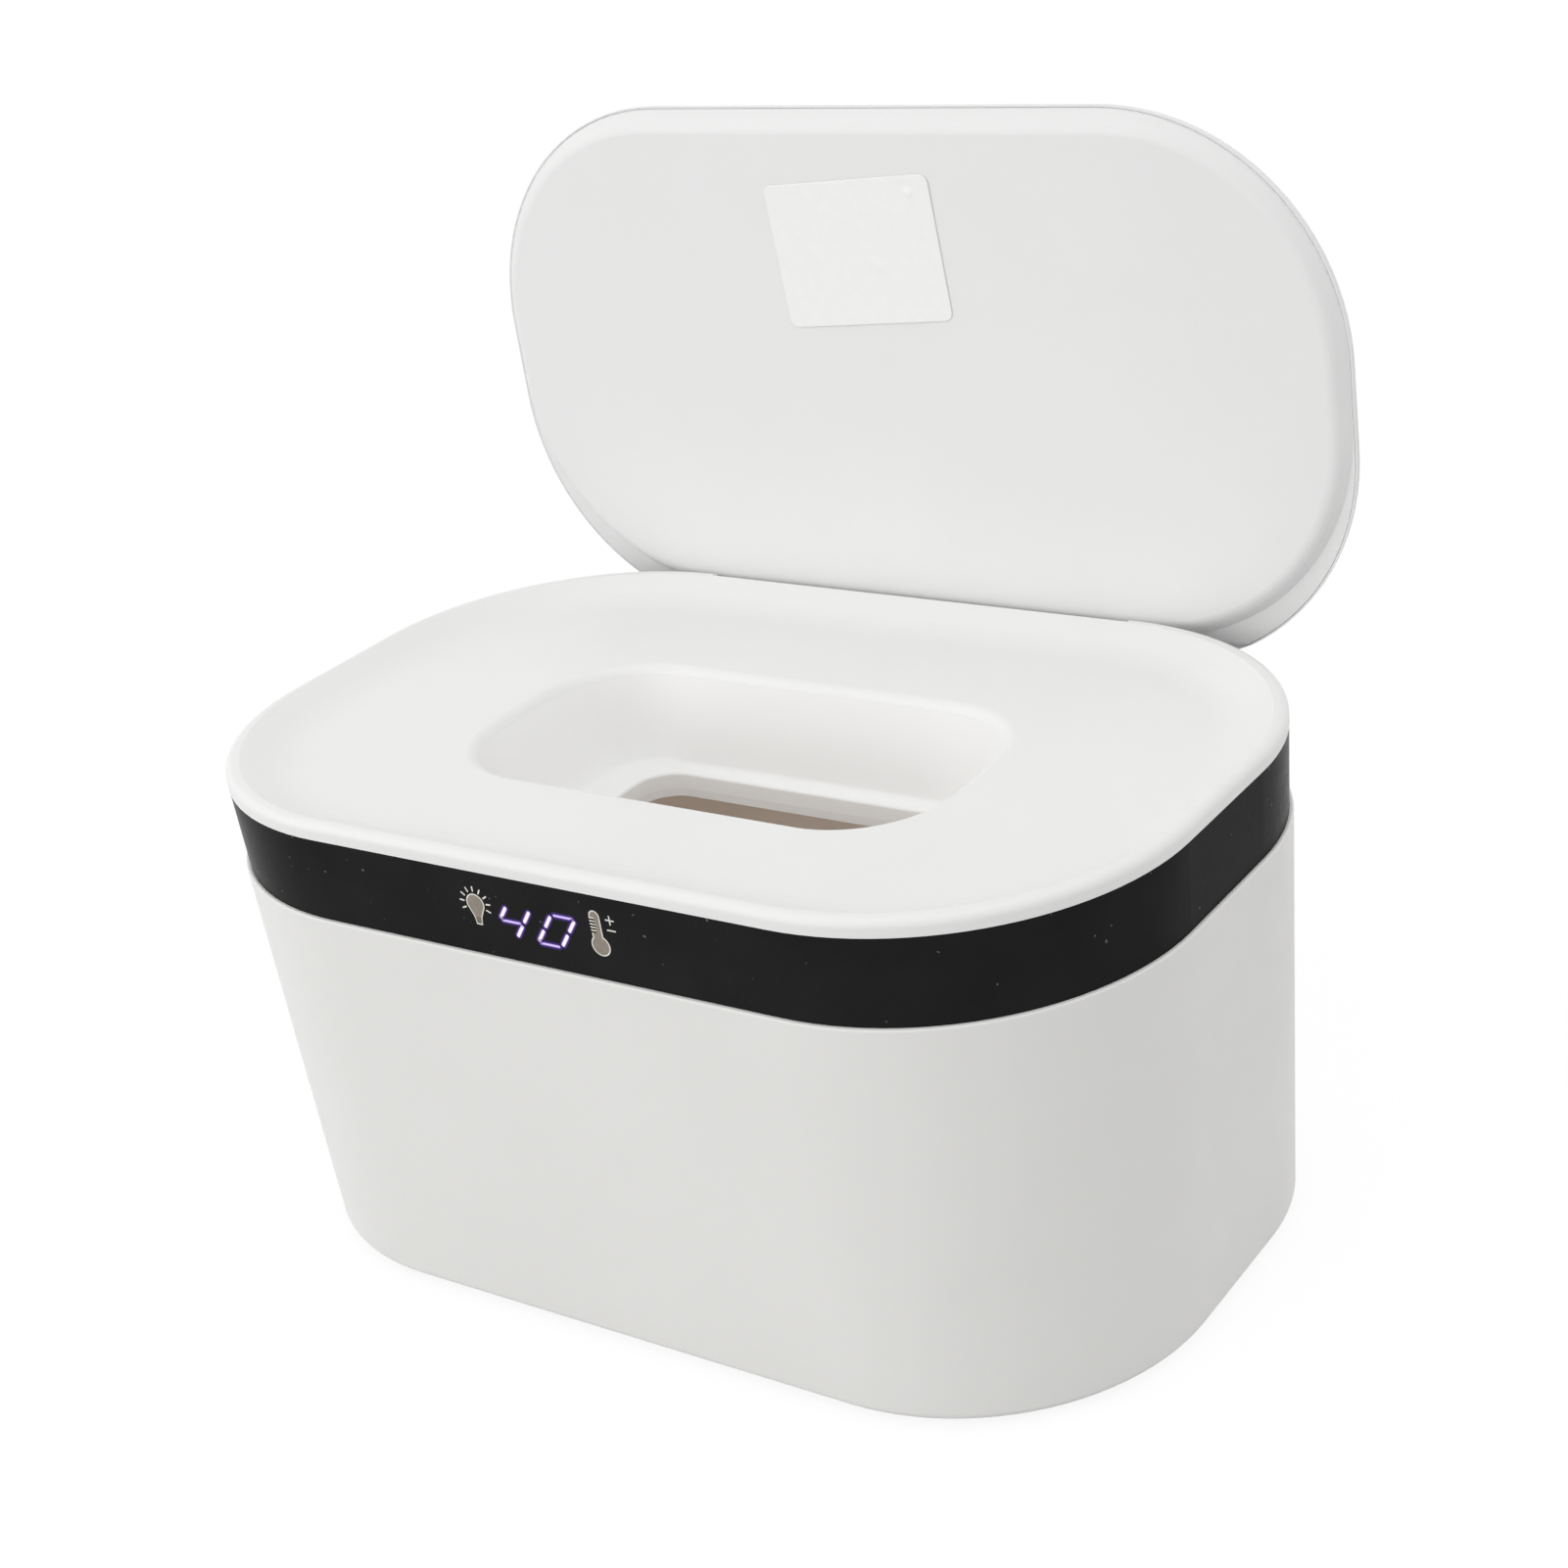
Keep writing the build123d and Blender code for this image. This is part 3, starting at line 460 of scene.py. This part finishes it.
def make_digits(finish):
    """The lit bars of the two slanted digits, with each bar's light on its mesh."""
    build = bmesh.new()
    glow = build.verts.layers.float_color.new("glow")
    for digit, left in DIGIT_LEFT.items():
        for segment in LIT[digit]:
            ends = []
            for column, row in SEGMENTS[segment]:
                rise = row * DIGIT_HEIGHT / 2
                across = left + column * DIGIT_WIDTH + rise * DIGIT_SLANT
                ends.append(Vector((across, DIGIT_LOW + rise)))
            level = SEGMENTS[segment][0][1] == SEGMENTS[segment][1][1]
            trim = (ends[1] - ends[0]).normalized() * (LEVEL_TRIM if level else UPRIGHT_TRIM)
            start, end = ends[0] + trim, ends[1] - trim
            last = None
            for half, color in LEVEL_RINGS if level else UPRIGHT_RINGS:
                ring = []
                for x, z in bar_ring(start, end, half):
                    vert = build.verts.new(on_band(x, z, PRINT_DEPTH))
                    vert[glow] = (*color, 1)
                    ring.append(vert)
                if last is None:
                    build.faces.new(ring)
                else:
                    for i in range(len(ring)):
                        j = (i + 1) % len(ring)
                        build.faces.new((last[i], last[j], ring[j], ring[i]))
                last = ring
    bmesh.ops.recalc_face_normals(build, faces=build.faces)
    mesh = bpy.data.meshes.new("digit_bars")
    build.to_mesh(mesh)
    build.free()
    add_piece("digit_bars", mesh, "base", finish)


# ---------------------------------------------------------------- icons

BULB_AT = (-14.75, 105.7)
BULB_RADIUS = 2.3
BULB_ARC = (-38, 218)
# Half-width and height from the bulb's middle, at its neck and at its foot
BULB_NECK = (1.0, -3.1)
BULB_FOOT = (0.75, -4.85)
THREAD_COUNT = 3
THREAD_HALF = 0.8
THREAD_HIGH = -3.3
THREAD_PITCH = 0.5
THREAD_TAPER = 0.05
THREAD_WIDTH = 0.16
RAY_COUNT = 9
RAY_FIRST = -22.5
RAY_LAST = 202.5
RAY_INNER = 2.9
RAY_OUTER = 3.85
RAY_WIDTH = 0.34
TUBE_X = 15.95
TUBE_TOP = 108.45
TUBE_HALF = 1.3
TUBE_STEPS = 14
WELL_AT = (16.25, 101.8)
WELL_RADIUS = 2.3
TICK_HIGH = 108.0
TICK_PITCH = 0.71
TICK_COUNT = 5
TICK_LENGTH = 1.3
TICK_WIDTH = 0.22
TICK_OUT = 0.05
NOTCH_WIDTH = 0.34
NOTCH_OUT = 0.1
PLUS_AT = (19.7, 108.15)
MINUS_AT = (19.7, 105.85)
SIGN_HALF = 0.95
SIGN_WIDTH = 0.3
ICON_EDGE = 0.28
ICON_STEPS = 28
# Lifts of the printed layers in front of the band, one over the other
EDGE_LIFT = 0.02 * MM
CROSS_LIFT = 0.03 * MM
FILL_LIFT = 0.04 * MM
NOTCH_LIFT = 0.05 * MM
TICK_LIFT = 0.06 * MM


def bulb_outline(grow):
    """Outline of the light bulb, grown outward."""
    x, z = BULB_AT
    radius = BULB_RADIUS + grow
    points = arc(x, z, radius, *BULB_ARC, ICON_STEPS)
    neck, foot = BULB_NECK[0] + grow, BULB_FOOT[0] + grow
    neck_z, foot_z = z + BULB_NECK[1], z + BULB_FOOT[1] - grow
    points += [(x - neck, neck_z), (x - foot, foot_z)]
    return points + [(x + foot, foot_z), (x + neck, neck_z)]


def thermometer_outline(grow):
    """Outline of the thermometer, grown outward."""
    half = TUBE_HALF + grow
    radius = WELL_RADIUS + grow
    left = math.degrees(math.acos((TUBE_X - half - WELL_AT[0]) / radius))
    right = math.degrees(math.acos((TUBE_X + half - WELL_AT[0]) / radius))
    tube = arc(TUBE_X, TUBE_TOP, half, 0, 180, TUBE_STEPS)
    return tube + arc(*WELL_AT, radius, left, 360 + right, ICON_STEPS)


def level_bar(x, z, length, width):
    """Rectangle that starts at x and is centred on z."""
    low, high = z - width / 2, z + width / 2
    return [(x, low), (x + length, low), (x + length, high), (x, high)]


def bulb_thread(i):
    """One dark line across the bulb's neck, each shorter than the one above."""
    x, z = BULB_AT
    half = THREAD_HALF - THREAD_TAPER * i
    return level_bar(x - half, z + THREAD_HIGH - THREAD_PITCH * i, 2 * half, THREAD_WIDTH)


def make_icons(edge, fill, dark):
    """The two printed icons beside the digits."""
    step = (RAY_LAST - RAY_FIRST) / (RAY_COUNT - 1)
    rays = [
        bar(*BULB_AT, RAY_FIRST + step * i, RAY_INNER, RAY_OUTER, RAY_WIDTH)
        for i in range(RAY_COUNT)
    ]
    signs = [bar(*PLUS_AT, angle, -SIGN_HALF, SIGN_HALF, SIGN_WIDTH) for angle in (0, 90)]
    minus = bar(*MINUS_AT, 0, -SIGN_HALF, SIGN_HALF, SIGN_WIDTH)
    plates_on_band("bulb_edge", [bulb_outline(0)], EDGE_LIFT, edge)
    plates_on_band("bulb_fill", [bulb_outline(-ICON_EDGE)], FILL_LIFT, fill)
    plates_on_band("bulb_rays", rays, EDGE_LIFT, edge)
    plates_on_band("thermometer_edge", [thermometer_outline(0)], EDGE_LIFT, edge)
    plates_on_band("thermometer_fill", [thermometer_outline(-ICON_EDGE)], FILL_LIFT, fill)
    plates_on_band("plus_upright", signs[1:], EDGE_LIFT, edge)
    plates_on_band("plus_level", signs[:1], CROSS_LIFT, edge)
    plates_on_band("minus", [minus], EDGE_LIFT, edge)
    left = TUBE_X - TUBE_HALF
    heights = [TICK_HIGH - TICK_PITCH * i for i in range(TICK_COUNT)]
    notches = [
        level_bar(left - NOTCH_OUT, z - TICK_PITCH / 2, TICK_LENGTH, NOTCH_WIDTH) for z in heights
    ]
    ticks = [level_bar(left - TICK_OUT, z, TICK_LENGTH, TICK_WIDTH) for z in heights]
    plates_on_band("tick_gaps", notches, NOTCH_LIFT, dark)
    plates_on_band("ticks", ticks, TICK_LIFT, edge)
    threads = [bulb_thread(i) for i in range(THREAD_COUNT)]
    plates_on_band("bulb_thread", threads, NOTCH_LIFT, dark)


# ---------------------------------------------------------------- sticker

OPEN_ANGLE = math.radians(88.3)
PANEL_DROP = 9.96 * MM
STICKER_SIZE = (43.9, 33.2)
STICKER_AT = (-4.1, -94.0)
STICKER_TURN = math.radians(-4.4)
STICKER_CORNER = 2.3
STICKER_THICK = 0.09
STICKER_GAP = 0.05
CORNER_STEPS = 6
FLAT_STEPS = 28
# The film's bubble, crease and ripples; a spread is a squared distance
BUBBLE_AT = (16.3, 12.6)
BUBBLE_HEIGHT = 0.34
BUBBLE_SPREAD = 0.8
CREASE_ENDS = ((1.0, -0.6), (8.0, -4.8))
CREASE_HEIGHT = 0.18
CREASE_SPREAD = 0.6
CREASE_FADE = 0.12
RIPPLE_HEIGHT = 0.05
RIPPLE_LENGTH = 9
RIPPLE_SLICE = 0.4


def corner_steps(half, corner):
    """Grid lines across the sticker, closer together at its rounded corners."""
    bend = [half - corner + corner * i / CORNER_STEPS for i in range(CORNER_STEPS + 1)]
    flat = [(half - corner) * i / FLAT_STEPS for i in range(FLAT_STEPS)]
    side = flat + bend
    return [-v for v in reversed(side[1:])] + side


def rounded(a, b, half_a, half_b, corner):
    """Moves a grid point of a rectangle onto the same rectangle with round corners."""
    over_a = (abs(a) - half_a + corner) / corner
    over_b = (abs(b) - half_b + corner) / corner
    if over_a <= 0 or over_b <= 0:
        return a, b
    new_a = half_a - corner + corner * over_a * math.sqrt(1 - over_b**2 / 2)
    new_b = half_b - corner + corner * over_b * math.sqrt(1 - over_a**2 / 2)
    return math.copysign(new_a, a), math.copysign(new_b, b)


def sticker_lift(a, b):
    """Height of the film over the panel in millimetres: a bubble, a crease and ripples."""
    to_bubble = (a - BUBBLE_AT[0]) ** 2 + (b - BUBBLE_AT[1]) ** 2
    bubble = BUBBLE_HEIGHT * math.exp(-to_bubble / BUBBLE_SPREAD)
    (ax, ay), (bx, by) = CREASE_ENDS
    along = Vector((bx - ax, by - ay))
    offset = Vector((a - ax, b - ay))
    share = offset.dot(along) / along.length_squared
    away = abs(offset.cross(along)) / along.length
    across = math.exp(-(away**2) / CREASE_SPREAD)
    crease = CREASE_HEIGHT * across * math.exp(-((share - 0.5) ** 2) / CREASE_FADE)
    place = Vector((a / RIPPLE_LENGTH, b / RIPPLE_LENGTH, RIPPLE_SLICE))
    ripple = RIPPLE_HEIGHT * noise.noise(place)
    return STICKER_THICK + STICKER_GAP + bubble + crease + ripple


def joint_place(name):
    """Position of a joint of the frame."""
    for joint in frame["joints"]:
        if joint["name"] == name:
            return joint["pos_m"]


def make_sticker(finish):
    """Blank film label on the lid's inner panel, laid out on the closed lid and turned open."""
    _, pin_y, pin_z = joint_place("lid_hinge")
    out = Vector((0, math.sin(OPEN_ANGLE), math.cos(OPEN_ANGLE)))
    back = Vector((0, math.cos(OPEN_ANGLE), -math.sin(OPEN_ANGLE)))
    half_a, half_b = STICKER_SIZE[0] / 2, STICKER_SIZE[1] / 2
    lines_a, lines_b = corner_steps(half_a, STICKER_CORNER), corner_steps(half_b, STICKER_CORNER)
    build = bmesh.new()
    grid = []
    for flat_b in lines_b:
        row = []
        for flat_a in lines_a:
            a, b = rounded(flat_a, flat_b, half_a, half_b, STICKER_CORNER)
            x = STICKER_AT[0] + a * math.cos(STICKER_TURN) - b * math.sin(STICKER_TURN)
            y = STICKER_AT[1] + a * math.sin(STICKER_TURN) + b * math.cos(STICKER_TURN)
            place = Vector((x * MM, pin_y, pin_z)) + back * (y * MM)
            place += out * (PANEL_DROP - sticker_lift(a, -b) * MM)
            row.append(build.verts.new(place))
        grid.append(row)
    for low, high in zip(grid, grid[1:]):
        for i in range(len(low) - 1):
            build.faces.new((low[i], low[i + 1], high[i + 1], high[i]))
    bmesh.ops.recalc_face_normals(build, faces=build.faces)
    mesh = bpy.data.meshes.new("blank_sticker")
    build.to_mesh(mesh)
    build.free()
    for face in mesh.polygons:
        face.use_smooth = True
    piece = add_piece("blank_sticker", mesh, "lid", finish)
    thick = piece.modifiers.new("thickness", "SOLIDIFY")
    thick.thickness = STICKER_THICK * MM
    thick.offset = 0


# ---------------------------------------------------------------- stage and light

FLOOR_HALF = 6.0
FLOOR_DROP = 0.0001
FLOOR_SHADE = 0.54
FLOOR_ROUGHNESS = 0.9
FLOOR_SPECULAR = 0.1
# The floor's own white, and its share of what is seen; the rest keeps the shadow
FLOOR_GLOW = 1.18
FLOOR_SHARE = 0.75
WORLD_LIGHT = 0.82
# Place, aimed point, size and power
SOFTBOXES = {
    "front": ((-1.2, -1.75, 0.75), (0, 0, 0.15), (2.6, 1.8), 16.2),
    "overhead": ((0.8, 0.1, 1.8), (0, 0, 0.1), (1.8, 1.8), 3.5),
}


def seen_rays(tree):
    """1 for rays that show the surroundings: to the camera, in a gloss or through glass."""
    path = tree.nodes.new("ShaderNodeLightPath")
    seen = path.outputs["Is Camera Ray"]
    for kind in ("Is Glossy Ray", "Is Transmission Ray"):
        either = tree.nodes.new("ShaderNodeMath")
        either.operation = "MAXIMUM"
        tree.links.new(seen, either.inputs[0])
        tree.links.new(path.outputs[kind], either.inputs[1])
        seen = either.outputs["Value"]
    return seen


def make_floor():
    """Plain pale floor that is seen as white and keeps the object's shadow."""
    build = bmesh.new()
    bmesh.ops.create_grid(build, x_segments=1, y_segments=1, size=FLOOR_HALF)
    mesh = bpy.data.meshes.new("floor")
    build.to_mesh(mesh)
    build.free()
    floor = bpy.data.objects.new("floor", mesh)
    floor.location = (0, 0, -FLOOR_DROP)
    bpy.context.collection.objects.link(floor)
    paint = bpy.data.materials.new("floor_paint")
    paint.use_nodes = True
    tree = paint.node_tree
    shader = tree.nodes["Principled BSDF"]
    shader.inputs["Base Color"].default_value = (FLOOR_SHADE, FLOOR_SHADE, FLOOR_SHADE, 1)
    shader.inputs["Roughness"].default_value = FLOOR_ROUGHNESS
    shader.inputs["Specular IOR Level"].default_value = FLOOR_SPECULAR
    lit = tree.nodes.new("ShaderNodeEmission")
    lit.inputs["Strength"].default_value = FLOOR_GLOW
    both = tree.nodes.new("ShaderNodeMixShader")
    share = tree.nodes.new("ShaderNodeMath")
    share.operation = "MULTIPLY"
    share.inputs[1].default_value = FLOOR_SHARE
    tree.links.new(seen_rays(tree), share.inputs[0])
    tree.links.new(share.outputs["Value"], both.inputs["Fac"])
    tree.links.new(shader.outputs["BSDF"], both.inputs[1])
    tree.links.new(lit.outputs["Emission"], both.inputs[2])
    tree.links.new(both.outputs["Shader"], tree.nodes["Material Output"].inputs["Surface"])
    floor.data.materials.append(paint)


def make_world():
    """White surroundings: plain white where they are seen, softer as a light."""
    world = bpy.data.worlds.new("studio")
    bpy.context.scene.world = world
    world.use_nodes = True
    tree = world.node_tree
    background = tree.nodes["Background"]
    background.inputs["Color"].default_value = (1, 1, 1, 1)
    level = tree.nodes.new("ShaderNodeMapRange")
    level.inputs["To Min"].default_value = WORLD_LIGHT
    level.inputs["To Max"].default_value = 1.0
    tree.links.new(seen_rays(tree), level.inputs["Value"])
    tree.links.new(level.outputs["Result"], background.inputs["Strength"])


def add_softbox(name, place, aim, size, power):
    """Rectangular soft light that faces a point."""
    data = bpy.data.lights.new(name, "AREA")
    data.shape = "RECTANGLE"
    data.size, data.size_y = size
    data.energy = power
    light = bpy.data.objects.new(name, data)
    light.location = place
    heading = Vector(aim) - Vector(place)
    light.rotation_euler = heading.to_track_quat("-Z", "Y").to_euler()
    bpy.context.collection.objects.link(light)


# ---------------------------------------------------------------- build

make_camera()
dress_frame()
ink_edge = printed_ink("ink_edge", (0.84, 0.81, 0.74))
ink_fill = printed_ink("ink_fill", (0.265, 0.228, 0.186))
make_digits(digit_light())
make_icons(ink_edge, ink_fill, nodes["display_band"].material_slots[0].material)
make_sticker(sticker_film())
make_floor()
make_world()
for name, settings in SOFTBOXES.items():
    add_softbox(name, *settings)
bpy.context.scene.view_settings.view_transform = "Standard"
